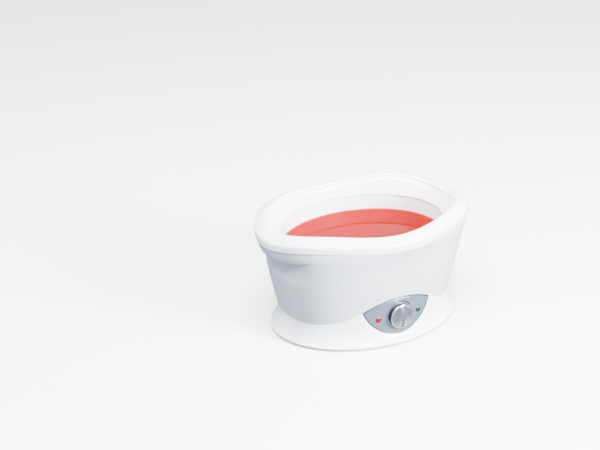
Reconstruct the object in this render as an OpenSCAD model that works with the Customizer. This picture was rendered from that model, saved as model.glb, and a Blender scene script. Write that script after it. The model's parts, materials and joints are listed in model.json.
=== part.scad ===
// Oval paraffin bath with a flared foot, a rolled rim and a thermostat knob.
// X runs along the length, the control panel faces -Y, Z is up and z = 0 is the table.

/* [Rim] */
// Length over the rolled rim
rim_len = 340; // [300:1:400]
// Width over the rolled rim
rim_wid = 253; // [225:1:300]
// Mean height of the outer edge of the rim
rim_z = 169; // [150:1:200]
// Rise of the rim at its four corners
rim_wave_h = 4.1; // [0:0.1:6]
// Extra drop of the rim at its two ends
end_drop = 1.3; // [0:0.1:3]
// Height of the plain band around the outside of the rim
band_h = 10; // [7:0.5:14]
// Wall of the rim moulding
rim_wall = 2.5; // [2:0.1:3]
// Length of the rim's opening
opening_len = 290; // [250:1:320]
// Width of the rim's opening
opening_wid = 217.5; // [190:1:240]

/* [Shell] */
// Length of the shell low down
shell_low_len = 264; // [240:1:290]
// Width of the shell low down
shell_low_wid = 181; // [165:1:200]
// Height at which the low size is measured
shell_low_z = 30; // [24:1:40]
// Length of the shell high up
shell_high_len = 313; // [290:1:330]
// Width of the shell high up
shell_high_wid = 239; // [220:1:250]
// Height at which the high size is measured
shell_high_z = 150; // [130:1:160]
// Wall of the shell
shell_wall = 2.8; // [2:0.1:3.5]
// Depth of the finger hollow under each end
grip_depth = 5; // [4:0.5:9]
// Half angle that each finger hollow spans
grip_span = 40; // [30:1:48]

/* [Base] */
// Length of the foot
base_len = 297; // [270:1:330]
// Width of the foot
base_wid = 231; // [205:1:250]
// Height of the foot's seam at the ends and the back
seam_z = 34; // [30:1:40]
// Extra height of the seam over the control panel
seam_rise = 38; // [30:1:44]
// Wall of the foot
base_wall = 2.5; // [2:0.1:3]
// Diameter of a rubber foot
foot_d = 16; // [12:1:20]

/* [Pan] */
// Length of the pan's mouth
pan_len = 260; // [230:1:270]
// Width of the pan's mouth
pan_wid = 209; // [180:1:212]
// Height of the pan's mouth
ledge_z = 152.6; // [140:0.5:156]
// Height of the pan's floor inside
pan_floor_z = 72; // [68:1:90]
// Sheet thickness of the pan
pan_wall = 1.5; // [1:0.1:2]
// Height of the wax surface
wax_z = 127.4; // [100:1:140]

/* [Controls] */
// Height of the knob's axis
knob_z = 44.4; // [43:0.2:46]
// Distance from the middle of the bath to the panel's face
panel_y = 104.5; // [103.5:0.1:106]
// Radius of the panel's curve
panel_r = 171; // [150:1:220]
// Width of the panel from tip to tip
panel_wid = 115; // [100:1:118]
// Diameter of the knob
knob_d = 37; // [34:0.2:42]
// Height of the knob's face above the panel
knob_rise = 8.5; // [6:0.5:12]
// Depth of the hollow on each side of the knob's bar
scoop_depth = 4; // [2.5:0.5:6]
// Diameter of the thermostat's spindle
spindle_d = 6; // [5:0.5:8]
// Diameter of an indicator lens
lens_d = 9; // [7:0.5:11]
// Distance from the knob's axis to each lens
lens_x = 34; // [30:0.5:38]

/* [Cord inlet] */
// Diameter of the inlet's bore
inlet_d = 7.2; // [6:0.1:9]
// Height of the inlet
inlet_z = 17; // [16:0.5:20]

/* [Fits] */
// Clearance between pieces that lap or nest
lap_gap = 0.3; // [0.2:0.05:0.5]
// Radial clearance of a turning shaft
turn_gap = 0.05; // [0.03:0.01:0.1]

/* [Hidden] */

$fn = 48;
segments = 72;                         // facets around each oval
turns = [for (i = [0 : segments - 1]) 360 * i / segments];

rim_half = [rim_len / 2, rim_wid / 2];
opening_half = [opening_len / 2, opening_wid / 2];
base_half = [base_len / 2, base_wid / 2];
pan_half = [pan_len / 2, pan_wid / 2];
ledge_half = pan_half + [1, 1];
shell_n = 2.35;                        // squareness of the shell's oval; 2 is an ellipse
shell_bulge = 0.81;                    // below 1 the side bows outwards
shoulder_in = 1.5;                     // the rim band stands this far proud of the shell
flare_z = 120;                         // the shell starts to flare to its shoulder here
grip_low_z = 104;                      // foot of the finger hollow
grip_deep_z = 127;                     // the hollow is deepest from here up to its lip
grip_top_z = 150;                      // lip of the hollow at its two tips
grip_dip = 16;                         // the lip hangs this much lower at the middle
lip_slope = 1.5;                       // height of the lip's underside
neck_h = 6;                            // the shell's neck reaches this far up inside the rim
seam_half = 71;                        // reach of the seam's rise to each side
seam_power = 2.4;
lap_h = 4.4;                           // the shell's foot sits this far down inside the base
skin = 0.9;                            // edge thickness of the base where it laps the shell
base_floor_z = 2.5;
base_floor_t = 2.5;
edge_z = 7;                            // top of the foot's upright edge
post_at = [98, 50];                    // screw posts, mirrored to four places
post_r = 5;
pilot_r = 1.6;
screw_r = 1.55;
foot_at = base_half - [44.5, 51.5];    // keeps each rubber foot inside the skirt
flange_w = 5;
flange_z = ledge_z - 2.2;              // top of the pan's flange
flange_t = 1.3;
tab_r = 7;
boss_r = 4.5;
boss_h = 10.5;
tab_out = 8;                           // pan tabs and rim bosses stand out this far from the ledge
grid_t = 3;
grid_leg = 3;
grid_top_z = pan_floor_z + lap_gap + grid_leg + grid_t;
stack_gap = 0.2;
pan_under_z = pan_floor_z - pan_wall;
pad_t = 1.3;
spreader_t = 1;
insul_t = 5;
clamp_t = 1.2;
pad_top_z = pan_under_z - stack_gap;
spreader_top_z = pad_top_z - pad_t - stack_gap;
insul_top_z = spreader_top_z - spreader_t - stack_gap;
clamp_top_z = insul_top_z - insul_t - stack_gap;
clamp_low_z = clamp_top_z - clamp_t;
stud_at = [62, 38];
stud_r = 2;
stud_low_z = clamp_low_z - 6;
nut_h = 3.2;
bulb_r = 3;
bulb_len = 76;
bulb_slot = [bulb_len + 8, 2 * bulb_r + 2];
cutout_at = [36, -22];
leaf_corner = 11.8;                    // the panel's tips lie this far above the knob's axis
leaf_top = 28.1;                       // top of the panel above the knob's axis
leaf_bottom = 29.8;                    // foot of the panel below the knob's axis
bezel_t = 2.4;
trim_w = 1.5;
bracket_t = 1.5;
bracket_y = panel_y - bezel_t - 6;     // front face of the bracket, from the middle
body_r = 16;
body_len = 25;
bush_r = 4.8;
hub_r = 6.5;
spindle_r = spindle_d / 2;
knob_back_y = panel_y + 0.7;
knob_face_y = panel_y + knob_rise;
grip_wid = 7.4;
core_y = knob_face_y - scoop_depth - 0.9;   // the knob's core ends just behind the hollows
spindle_out = core_y - 1.6;                 // outer end of the spindle, from the middle
gland_in = 18;                         // the gland reaches this far in behind the skirt
seat_in = 10;                          // its nut bears on a boss this far in
seat_r = seam_z - lap_h - 0.6 - inlet_z;
flange_r = inlet_d / 2 + 4.2;
block_at = [-62, 48];
lead_r = 1.2;

// Helpers

function clamp01(v) = min(max(v, 0), 1);
function mix(p, q, f) = p + (q - p) * f;
function signed_pow(v, e) = sign(v) * pow(abs(v), e);
// Point of an oval with half axes h at turn t
function oval(h, n, t) = [h[0] * signed_pow(cos(t), 2 / n), h[1] * signed_pow(sin(t), 2 / n)];
// Moves a plan point d towards the middle
function inwards(p, d) = p * (1 - d / norm(p));
function at_height(p, z) = [p[0], p[1], z];

function quad(a, b, c, d) = [[a, c, d], [a, d, b]];
function skin_faces(m, n, rows) = [
    for (j = [0 : rows - 1]) for (i = [0 : n - 1])
        each quad(j * n + i, j * n + (i + 1) % n, (j + 1) % m * n + i, (j + 1) % m * n + (i + 1) % n)];

// Hollow ring: a closed profile carried round, its last ring joined to its first
module ring_solid(rings) {
    m = len(rings);
    polyhedron(points = [for (r = rings) each r], faces = skin_faces(m, len(rings[0]), m));
}

// Stack of rings closed by a flat floor and a flat top
module stack_solid(rings) {
    m = len(rings);
    n = len(rings[0]);
    polyhedron(
        points = [for (r = rings) each r],
        faces = concat(
            skin_faces(m, n, m - 1),
            [[for (i = [0 : n - 1]) i], [for (i = [0 : n - 1]) m * n - 1 - i]]));
}

// Round lead along a route of points
module tube_along(route, r, sides) {
    last = len(route) - 1;
    rings = [for (k = [0 : last])
        let (way = route[min(k + 1, last)] - route[max(k - 1, 0)],
             w = way / norm(way),
             ref = abs(w[2]) > 0.9 ? [1, 0, 0] : [0, 0, 1],
             u = cross(ref, w) / norm(cross(ref, w)),
             v = cross(w, u))
        [for (i = [0 : sides - 1]) route[k] + r * (u * cos(360 * i / sides) + v * sin(360 * i / sides))]];
    stack_solid(rings);
}

// Smooth curve through a few route points
function curve_point(p, i, f) =
    let (n = len(p) - 1, a = p[max(i - 1, 0)], b = p[i], c = p[min(i + 1, n)], d = p[min(i + 2, n)])
    0.5 * (2 * b + (c - a) * f + (2 * a - 5 * b + 4 * c - d) * f * f + (3 * b - a - 3 * c + d) * f * f * f);
function smooth_route(p, steps) = concat(
    [for (i = [0 : len(p) - 2]) for (k = [0 : steps - 1]) curve_point(p, i, k / steps)], [p[len(p) - 1]]);

module oval_plate(h, n, z, t) {
    translate([0, 0, z])
        linear_extrude(t)
            polygon([for (a = turns) oval(h, n, a)]);
}

module four_ways(at) {
    for (sx = [-1, 1])
        for (sy = [-1, 1])
            translate([sx * at[0], sy * at[1], 0])
                children();
}

// Cylinder that runs from y0 out to y1 towards the front, both measured from the middle
module front_rod(r, y0, y1, x = 0, z = knob_z) {
    translate([x, -y0, z])
        rotate([90, 0, 0])
            cylinder(r = r, h = y1 - y0);
}

// Shapes of the main mouldings

function rim_wave(t) = -rim_wave_h * cos(4 * t) - end_drop * cos(2 * t);
function rim_edge_z(t) = rim_z + rim_wave(t);
function shoulder_z(t) = rim_edge_z(t) - band_h;
function end_turn(t) = abs((t + 90) % 180 - 90);
function end_share(t) = end_turn(t) < grip_span ? cos(90 * end_turn(t) / grip_span) : 0;
function lip_z(t) = grip_top_z - grip_dip * end_share(t);
function shell_half(z) = mix(
    [shell_low_len, shell_low_wid] / 2, [shell_high_len, shell_high_wid] / 2,
    pow(max(z - shell_low_z, 0) / (shell_high_z - shell_low_z), shell_bulge));

// Outside of the shell at turn t and height z
function shell_skin(t, z) =
    let (share = end_share(t), top = shoulder_z(t), lip = lip_z(t),
         side = oval(shell_half(z), shell_n, t),
         shoulder = inwards(oval(rim_half, 2, t), shoulder_in),
         flare = pow(clamp01((z - flare_z) / (top - flare_z)), 3),
         above = z >= lip,
         roll = above ? 0.12 + 0.88 * sqrt(clamp01((z - lip) / (top - lip))) : 0,
         hollow = above ? 0 : grip_depth * share * clamp01((z - grip_low_z) / (grip_deep_z - grip_low_z)))
    inwards(mix(side, shoulder, mix(flare, roll, share)), hollow);

function shell_x(t) = oval(shell_half(seam_z), shell_n, t)[0];
function seam_height(t) = sin(t) > 0
    ? seam_z + seam_rise * exp(-pow(abs(shell_x(0)) / seam_half, seam_power))
    : seam_z + seam_rise * exp(-pow(abs(shell_x(t)) / seam_half, seam_power));

function shell_rings() =
    let (foot = [for (t = turns) seam_height(t) - lap_h + lap_gap],
         levels = function (k, f) mix(foot[k], grip_low_z, f),
         ring = function (z_of, out, lift) [for (k = [0 : segments - 1])
             let (t = turns[k], z = z_of(k, t)) at_height(inwards(shell_skin(t, z), out), z + lift)],
         neck = function (out, dz) [for (t = turns)
             at_height(inwards(shell_skin(t, shoulder_z(t)), out), shoulder_z(t) + dz)],
         side = [for (f = [0, 0.3, 0.65, 1]) function (k, t) levels(k, f)],
         grip = [function (k, t) 112, function (k, t) 120, function (k, t) grip_deep_z,
                 function (k, t) lip_z(t) - lip_slope],
         roll = [for (f = [0, 0.3, 0.65]) function (k, t) mix(lip_z(t), shoulder_z(t), f)],
         neck_in = rim_wall - shoulder_in + lap_gap)
    concat(
        [for (z_of = concat(side, grip, roll)) ring(z_of, 0, 0)],
        [neck(0, -lap_gap), neck(neck_in, -lap_gap), neck(neck_in, neck_h)],
        [neck(neck_in + shell_wall, neck_h), neck(neck_in + shell_wall, -3.4)],
        [ring(roll[0], shell_wall, shell_wall - 0.2), ring(grip[3], shell_wall, shell_wall - 0.2)],
        [for (z_of = [grip[2], grip[1], grip[0], side[3], side[2], side[1], side[0]])
            ring(z_of, shell_wall, 0)]);

// Leaf shape of the control panel, drawn in plan with its tips level, inset by d
module leaf(d) {
    half = panel_wid / 2;
    top_sag = leaf_top - leaf_corner;
    low_sag = leaf_corner + leaf_bottom;
    top_r = (half * half + top_sag * top_sag) / (2 * top_sag);
    low_r = (half * half + low_sag * low_sag) / (2 * low_sag);
    intersection() {
        translate([0, leaf_top - top_r])
            circle(r = top_r - d, $fn = 180);
        translate([0, low_r - leaf_bottom])
            circle(r = low_r - d, $fn = 180);
    }
}

// The leaf as a bar along Y, between distances y0 and y1 in front of the middle
module leaf_bar(d, y0, y1) {
    translate([0, -y0, knob_z])
        rotate([90, 0, 0])
            linear_extrude(y1 - y0)
                leaf(d);
}

// Curved sheet that follows the panel's face, from out in front of it to in behind it
module panel_sheet(front, back) {
    translate([0, panel_r - panel_y, 0])
        difference() {
            cylinder(r = panel_r + front, h = 90, $fn = 180);
            translate([0, 0, -1])
                cylinder(r = panel_r - back, h = 92, $fn = 180);
        }
}

// Housing

// Distance from the middle out to the plain shell along a plan direction
function shell_reach(away, z) =
    let (h = shell_half(z))
    pow(pow(abs(cos(away)) / h[0], shell_n) + pow(abs(sin(away)) / h[1], shell_n), -1 / shell_n);

module screw_post(at) {
    away = atan2(at[1], at[0]);
    reach = shell_reach(away, seam_z) - 1.2 - norm(at);
    rotate(away)
        translate([norm(at), 0, 0]) {
            translate([0, 0, base_floor_z + base_floor_t + lap_gap])
                cylinder(r = post_r, h = 42);
            translate([0, -1.5, seam_z + 1])
                cube([reach, 3, 12]);
        }
}

module outer_shell() {
    color("white")
        difference() {
            union() {
                ring_solid(shell_rings());
                for (sx = [-1, 1])
                    for (sy = [-1, 1])
                        scale([sx, sy, 1])
                            screw_post(post_at);
            }
            four_ways(post_at)
                cylinder(r = pilot_r, h = 30);
            leaf_bar(-lap_gap, 80, 130);
        }
}

function rim_point(t, q, d, dz) =
    at_height(inwards(mix(oval(rim_half, 2, t), oval(opening_half, 2, t), q), d), rim_edge_z(t) + dz);
function skirt_point(t, f, d) =
    at_height(
        inwards(mix(oval(opening_half, 2, t), oval(ledge_half, 2, t), f), d),
        mix(rim_edge_z(t) + 3.5, ledge_z, f));

// Profile of the rolled rim: share of the way in, extra inset, height above the rim's edge
rim_over = [
    [0, 0.8, -band_h], [0, 0.2, -band_h + 1.2], [0, 0, -1.5], [0.02, 0, 0.9], [0.09, 0, 2.8], [0.3, 0, 6.2],
    [0.55, 0, 8.8], [0.78, 0, 10.2], [0.92, 0, 10], [1, 0, 8]];
rim_under = [
    [0.9, -0.6, 7.2], [0.55, 0, 6.2], [0.33, 0, 3.8], [0.06, rim_wall - 0.6, -0.8],
    [0, rim_wall, neck_h - band_h + 0.6], [0, rim_wall, -band_h]];

module rim_ring() {
    color("white")
        difference() {
            union() {
                ring_solid(concat(
                    [for (p = rim_over) [for (t = turns) rim_point(t, p[0], p[1], p[2])]],
                    [for (f = [0.05, 0.35, 0.7, 1]) [for (t = turns) skirt_point(t, f, 0)]],
                    [for (f = [1, 0.7, 0.35, 0.05]) [for (t = turns) skirt_point(t, f, -rim_wall)]],
                    [for (p = rim_under) [for (t = turns) rim_point(t, p[0], p[1], p[2])]]));
                four_ways(tab_place)
                    translate([0, 0, flange_z + lap_gap])
                        cylinder(r = boss_r, h = boss_h);
            }
            four_ways(tab_place)
                cylinder(r = pilot_r, h = flange_z + boss_h - 2);
        }
}

tab_place = inwards(oval(ledge_half, 2, 45), -tab_out);

// Pan

// Inside of the pan from the floor's edge up to its mouth: inset from the mouth and height
pan_profile = [[17, 0], [9, 4], [5.5, 12], [3, 28], [0.4, 58]];
function pan_ring(d, z) = [for (t = turns) at_height(inwards(oval(pan_half, 2, t), d), z)];

module wax_pan() {
    color("gainsboro")
        difference() {
            union() {
                stack_solid(concat(
                    [for (p = pan_profile) pan_ring(p[0] - pan_wall, pan_floor_z + p[1] - pan_wall)],
                    [pan_ring(-pan_wall, flange_z - flange_t), pan_ring(-flange_w, flange_z - flange_t),
                     pan_ring(-flange_w, flange_z), pan_ring(0, flange_z)],
                    [for (k = [len(pan_profile) - 1 : -1 : 0])
                        pan_ring(pan_profile[k][0], pan_floor_z + pan_profile[k][1])]));
                four_ways(tab_place)
                    translate([0, 0, flange_z - flange_t])
                        cylinder(r = tab_r, h = flange_t);
            }
            four_ways(tab_place)
                translate([0, 0, flange_z - 5])
                    cylinder(r = 2.2, h = 10);
        }
}

module pan_gasket() {
    color("dimgray")
        difference() {
            oval_plate(ledge_half + [rim_wall, rim_wall], 2, flange_z + 0.1, ledge_z - flange_z - 0.2);
            oval_plate(ledge_half, 2, flange_z - 1, 6);
        }
}

module pan_screws() {
    color("silver")
        four_ways(tab_place) {
            translate([0, 0, flange_z - flange_t - 2.5])
                cylinder(r = 4, h = 2.4);
            translate([0, 0, flange_z - flange_t - 0.2])
                cylinder(r = screw_r, h = boss_h - 1);
        }
}

function pan_inset(z) = lookup(z - pan_floor_z, [for (p = pan_profile) [p[1], p[0]]]);
module wax_fill() {
    levels = [for (f = [0, 0.12, 0.3, 0.6, 1]) mix(grid_top_z + lap_gap, wax_z, f)];
    color("orangered")
        stack_solid([for (z = levels) pan_ring(pan_inset(z) + lap_gap + 0.3, z)]);
}

module pan_grid() {
    grid_half = pan_half - [24, 24];
    color("white")
        difference() {
            union() {
                oval_plate(grid_half, 2, grid_top_z - grid_t, grid_t);
                four_ways([70, 36])
                    translate([0, 0, pan_floor_z + lap_gap])
                        cylinder(r = 4, h = grid_leg + 0.5);
            }
            for (row = [-3 : 3])
                for (col = [-2 : 2])
                    translate([col * 30 - 11, row * 15 - 3, grid_top_z - grid_t - 1])
                        if (abs(row) != 2 || abs(col) < 2)
                            cube([22, 6, grid_t + 2]);
        }
}

// Foot

function base_skin(t, f) =
    let (front = sin(t) < 0 ? exp(-pow(abs(shell_x(t)) / seam_half, seam_power)) : 0,
         low = inwards(oval(base_half, 2, t), 1.5),
         top = inwards(shell_skin(t, seam_height(t)), -lap_gap - skin),
         in = 1 - pow(1 - f, 2 + 7 * front))
    at_height(mix(low, top, in), mix(edge_z, seam_height(t), f));
function base_edge(d, z) = [for (t = turns) at_height(inwards(oval(base_half, 2, t), d), z)];
function pull_in(p, d) = at_height(inwards([p[0], p[1]], d), p[2]);
function lap_point(t, z) = at_height(inwards(shell_skin(t, z), -lap_gap), z);

function base_rings() =
    let (lap_f = [for (t = turns) (seam_height(t) - lap_h - 0.6 - edge_z) / (seam_height(t) - edge_z)])
    concat(
        [base_edge(2.6, base_floor_z - 0.5), base_edge(0.6, base_floor_z), base_edge(0, 4.6),
            base_edge(0.5, 6.2)],
        [for (f = [0, 0.05, 0.12, 0.22, 0.36, 0.52, 0.7, 0.86, 1]) [for (t = turns) base_skin(t, f)]],
        [[for (t = turns) lap_point(t, seam_height(t))],
         [for (t = turns) lap_point(t, seam_height(t) - lap_h)],
         [for (k = [0 : segments - 1]) pull_in(base_skin(turns[k], lap_f[k]), base_wall + 0.6)]],
        [for (f = [0.52, 0.3, 0.12]) [for (t = turns) pull_in(base_skin(t, f), base_wall)]],
        [base_edge(1.5 + 2 * base_wall, base_floor_z + base_floor_t)]);

module base_tray() {
    color("white")
        difference() {
            union() {
                ring_solid(base_rings());
                oval_plate(base_half - [4, 4], 2, base_floor_z - 0.5, base_floor_t + 0.5);
                inlet_rod(seat_r, rear_skin_y() - seat_in, rear_skin_y() + 2.7);
            }
            inlet_rod(flange_r + 0.4, rear_skin_y() + 2.7, base_half[1] + 5);
            leaf_bar(-lap_gap, 85, 130);
            four_ways(post_at) {
                cylinder(r = 2.2, h = 12);
                translate([0, 0, -1])
                    cylinder(r = 4.3, h = 4.4);
            }
            four_ways(foot_at)
                cylinder(r = 3.2, h = 12);
            for (sx = [-1, 1])
                for (k = [0 : 5])
                    translate([sx * 50 - 26 + 10 * k, -16, 0])
                        cube([3.5, 32, 12]);
            inlet_rod(inlet_d / 2 + 2.4, rear_skin_y() - seat_in - 1, base_half[1] + 5);
        }
}

module base_screws() {
    color("silver")
        four_ways(post_at) {
            translate([0, 0, base_floor_z - 1.6])
                cylinder(r = 3.9, h = 2.2);
            translate([0, 0, base_floor_z])
                cylinder(r = screw_r, h = 20);
        }
}

module rubber_feet() {
    color("dimgray")
        four_ways(foot_at) {
            cylinder(r1 = foot_d / 2 - 1, r2 = foot_d / 2, h = base_floor_z - 0.6);
            cylinder(r = 3.1, h = 7.5);
            translate([0, 0, base_floor_z + base_floor_t + 0.1])
                cylinder(r = 4.6, h = 2);
        }
}

// Cord inlet at the rear

function rear_skin_y() = base_skin(90, (inlet_z - edge_z) / (seam_height(90) - edge_z))[1];

module inlet_rod(r, y0, y1) {
    translate([0, y0, inlet_z])
        rotate([-90, 0, 0])
            cylinder(r = r, h = y1 - y0);
}

module cord_gland() {
    y = rear_skin_y();
    color("dimgray")
        difference() {
            union() {
                inlet_rod(inlet_d / 2 + 2.1, y - gland_in, y + 1);
                inlet_rod(flange_r, y + 3, y + 5);
                inlet_rod(inlet_d / 2 + 2.1, y + 0.5, y + 3.5);
            }
            inlet_rod(inlet_d / 2, y - gland_in - 1, y + 6);
        }
}

module gland_nut() {
    y = rear_skin_y();
    color("dimgray")
        difference() {
            translate([0, y - seat_in - 3.7, inlet_z])
                rotate([-90, 0, 0])
                    cylinder(r = inlet_d / 2 + 5.5, h = 3.5, $fn = 6);
            inlet_rod(inlet_d / 2 + 2.1 + turn_gap, y - gland_in - 1, y);
        }
}

// Heater under the pan

module slotted_plate(h, top_z, t) {
    difference() {
        oval_plate(h, 2.3, top_z - t, t);
        translate([-bulb_slot[0] / 2, -bulb_slot[1] / 2, top_z - t - 1])
            cube([bulb_slot[0], bulb_slot[1], t + 2]);
        translate([0, -1.7, top_z - t - 1])
            cube([h[0] + 1, 3.4, t + 2]);
        four_ways(stud_at)
            translate([0, 0, top_z - t - 1])
                cylinder(r = stud_r + 0.3, h = t + 2);
    }
}

module heater_pad() {
    color("sienna")
        slotted_plate([98, 66], pad_top_z, pad_t);
}

module heat_spreader() {
    color("silver")
        slotted_plate([100, 68], spreader_top_z, spreader_t);
}

module insulation_pad() {
    color("whitesmoke")
        slotted_plate([100, 68], insul_top_z, insul_t);
}

module clamp_plate() {
    color("lightgray")
        difference() {
            oval_plate([84, 52], 2.3, clamp_low_z, clamp_t);
            four_ways(stud_at)
                translate([0, 0, clamp_low_z - 1])
                    cylinder(r = stud_r + 0.3, h = clamp_t + 2);
            translate([cutout_at[0], cutout_at[1], clamp_low_z - 1])
                cylinder(r = 5, h = clamp_t + 2);
        }
}

module heater_studs() {
    color("silver")
        four_ways(stud_at)
            translate([0, 0, stud_low_z])
                cylinder(r = stud_r, h = pan_under_z - stud_low_z);
}

module heater_nuts() {
    color("silver")
        difference() {
            four_ways(stud_at)
                translate([0, 0, clamp_low_z - nut_h - 0.1])
                    cylinder(r = 4, h = nut_h, $fn = 6);
            four_ways(stud_at)
                translate([0, 0, clamp_low_z - nut_h - 1])
                    cylinder(r = stud_r + turn_gap, h = nut_h + 2);
        }
}

bulb_z = pan_under_z - bulb_r - 0.1;

module sensor_bulb() {
    color("chocolate")
        translate([-bulb_len / 2, 0, bulb_z])
            rotate([0, 90, 0])
                cylinder(r = bulb_r, h = bulb_len);
}

module bulb_saddle() {
    color("lightgray")
        translate([-8, -bulb_slot[1] / 2 + 0.4, clamp_top_z + 0.1])
            difference() {
                cube([16, bulb_slot[1] - 0.8, bulb_z - clamp_top_z]);
                translate([-1, bulb_slot[1] / 2 - 0.4, bulb_z - clamp_top_z])
                    rotate([0, 90, 0])
                        cylinder(r = bulb_r + 0.2, h = 18);
            }
}

module thermal_cutout() {
    color("black")
        translate([cutout_at[0], cutout_at[1], clamp_low_z - 9])
            cylinder(r = 7, h = 8.8);
}

module cutout_clip() {
    color("silver")
        translate([cutout_at[0], cutout_at[1], clamp_low_z])
            difference() {
                translate([-14, -4, -10.4])
                    cube([28, 8, 10.3]);
                translate([-12.8, -5, -9.2])
                    cube([25.6, 10, 12]);
            }
}

// Thermostat and controls

module thermostat_body() {
    color("silver")
        difference() {
            union() {
                front_rod(body_r, bracket_y - bracket_t - 0.1 - body_len, bracket_y - bracket_t - 0.1);
                front_rod(bush_r, bracket_y - bracket_t - 1, bracket_y + 4.6);
            }
            front_rod(spindle_r + turn_gap, bracket_y - bracket_t - 16, bracket_y + 6);
        }
}

module thermostat_spindle() {
    color("gainsboro")
        intersection() {
            front_rod(spindle_r, bracket_y - bracket_t - 15, spindle_out);
            union() {
                translate([-spindle_r - 1, -bracket_y - 5, knob_z - 10])
                    cube([spindle_d + 2, 40, 20]);
                translate([-spindle_r - 1, -spindle_out - 1, knob_z - spindle_r - 1])
                    cube([spindle_d + 2, 20, spindle_d]);
            }
        }
}

module thermostat_nut() {
    color("goldenrod")
        difference() {
            translate([0, -bracket_y - 0.1, knob_z])
                rotate([90, 0, 0])
                    cylinder(r = 7.6, h = 2.8, $fn = 6);
            front_rod(bush_r + turn_gap, bracket_y - 3, bracket_y + 6);
        }
}

bracket_half = 27;

module thermostat_bracket() {
    color("lightgray")
        difference() {
            translate([-bracket_half, bracket_t - bracket_y - bracket_t, knob_z - 9])
                cube([2 * bracket_half, bracket_t, 18]);
            front_rod(bush_r + 0.2, bracket_y - 8, bracket_y + 4);
            for (sx = [-1, 1])
                front_rod(2, bracket_y - 8, bracket_y + 4, sx * (bracket_half - 5));
        }
}

module bracket_screws() {
    color("silver")
        for (sx = [-1, 1]) {
            front_rod(3.2, bracket_y - bracket_t - 2.2, bracket_y - bracket_t - 0.1, sx * (bracket_half - 5));
            front_rod(screw_r, bracket_y - bracket_t - 1, bracket_y + 4.5, sx * (bracket_half - 5));
        }
}

module control_bezel() {
    color("silver")
        difference() {
            union() {
                intersection() {
                    panel_sheet(0, bezel_t);
                    leaf_bar(trim_w + 0.1, 80, 120);
                }
                for (sx = [-1, 1])
                    front_rod(3.6, bracket_y + 0.1, panel_y - bezel_t + 0.3, sx * (bracket_half - 5));
            }
            for (sx = [-1, 1]) {
                front_rod(pilot_r, bracket_y - 1, bracket_y + 5, sx * (bracket_half - 5));
                front_rod(lens_d / 2 + 0.1, 80, 120, sx * lens_x, knob_z - 2);
            }
            front_rod(hub_r + 0.7, 80, 120);
        }
}

module bezel_trim() {
    color("gray")
        intersection() {
            panel_sheet(0.5, bezel_t);
            difference() {
                leaf_bar(0, 80, 120);
                leaf_bar(trim_w, 79, 121);
            }
        }
}

function face_y(x) = panel_y - panel_r + sqrt(panel_r * panel_r - x * x);

module lens(x) {
    translate([x, -face_y(x), knob_z - 2])
        rotate([90, 0, 0])
            rotate_extrude()
                polygon(concat(
                    [[0, -bezel_t - 2], [lens_d / 2, -bezel_t - 2]],
                    [for (a = [0 : 15 : 75]) [lens_d / 2 * cos(a), 0.2 + 1.4 * sin(a)]],
                    [[0, 1.6]]));
}

module red_lens() {
    color("red")
        lens(-lens_x);
}

module green_lens() {
    color("green")
        lens(lens_x);
}

module lamp(x) {
    front_rod(2.5, face_y(x) - bezel_t - 8.2, face_y(x) - bezel_t - 2.2, x, knob_z - 2);
}

module red_lamp() {
    color("red")
        lamp(-lens_x);
}

module green_lamp() {
    color("green")
        lamp(lens_x);
}

module lamp_board() {
    y = face_y(lens_x) - bezel_t - 8.3;
    color("darkgreen")
        difference() {
            translate([-lens_x - 7, -y, knob_z - 8])
                cube([2 * lens_x + 14, 1.6, 12]);
            translate([-body_r - 13, -y - 1, knob_z - 12])
                cube([2 * body_r + 26, 4, 20]);
        }
}

// Knob

module knob_dial() {
    flat = knob_face_y - knob_back_y;
    r = knob_d / 2;
    color("silver")
        difference() {
            translate([0, -knob_back_y, knob_z])
                rotate([90, 0, 0])
                    rotate_extrude($fn = 96)
                        polygon([[0, 0], [r, 0], [r, flat - 1.2], [r - 0.4, flat - 0.35], [r - 1.2, flat],
                            [0, flat]]);
            // a hollow for the fingers on each side of the bar
            for (sx = [-1, 1])
                intersection() {
                    translate([0, -knob_face_y, knob_z])
                        rotate([90, 0, 0])
                            rotate_extrude($fn = 96)
                                polygon([[0, 1], [r + 1, 1], [r + 1, 0], [r - 1.8, 0],
                                    [r - 3.4, -0.35 * scoop_depth], [r * 0.62, -0.8 * scoop_depth],
                                    [r * 0.36, -scoop_depth], [0, -scoop_depth]]);
                    translate([sx * (grip_wid + r + 2) / 2, -knob_face_y, knob_z])
                        cube([r + 2, 2 * scoop_depth + 4, 2 * r + 2], center = true);
                }
            front_rod(hub_r + 3.05, knob_back_y - 1, core_y + 0.1);
        }
}

module knob_core() {
    color("black")
        difference() {
            union() {
                front_rod(hub_r, bracket_y + 5, knob_back_y);
                front_rod(hub_r + 3, knob_back_y - 0.01, core_y);
            }
            front_rod(spindle_r + 0.6, bracket_y + 4, spindle_out + 0.4);
        }
}

module knob_clip() {
    color("lightgray")
        difference() {
            front_rod(spindle_r + 0.55, spindle_out - 5, spindle_out - 1);
            front_rod(spindle_r + turn_gap, spindle_out - 6, spindle_out);
            translate([-0.6, -spindle_out, knob_z])
                cube([1.2, 6, 8]);
        }
}

// Wiring

module terminal_block() {
    color("ivory")
        translate([block_at[0], block_at[1], base_floor_z + base_floor_t + 0.1])
            difference() {
                cube([32, 14, 13]);
                for (k = [0 : 2])
                    translate([6 + 10 * k, 7, 7])
                        cylinder(r = 2.3, h = 8);
            }
}

module terminal_screws() {
    color("goldenrod")
        for (k = [0 : 2])
            translate([block_at[0] + 6 + 10 * k, block_at[1] + 7, base_floor_z + base_floor_t + 7.2])
                cylinder(r = 2.2, h = 4);
}

block_top_z = base_floor_z + base_floor_t + 8;

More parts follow.
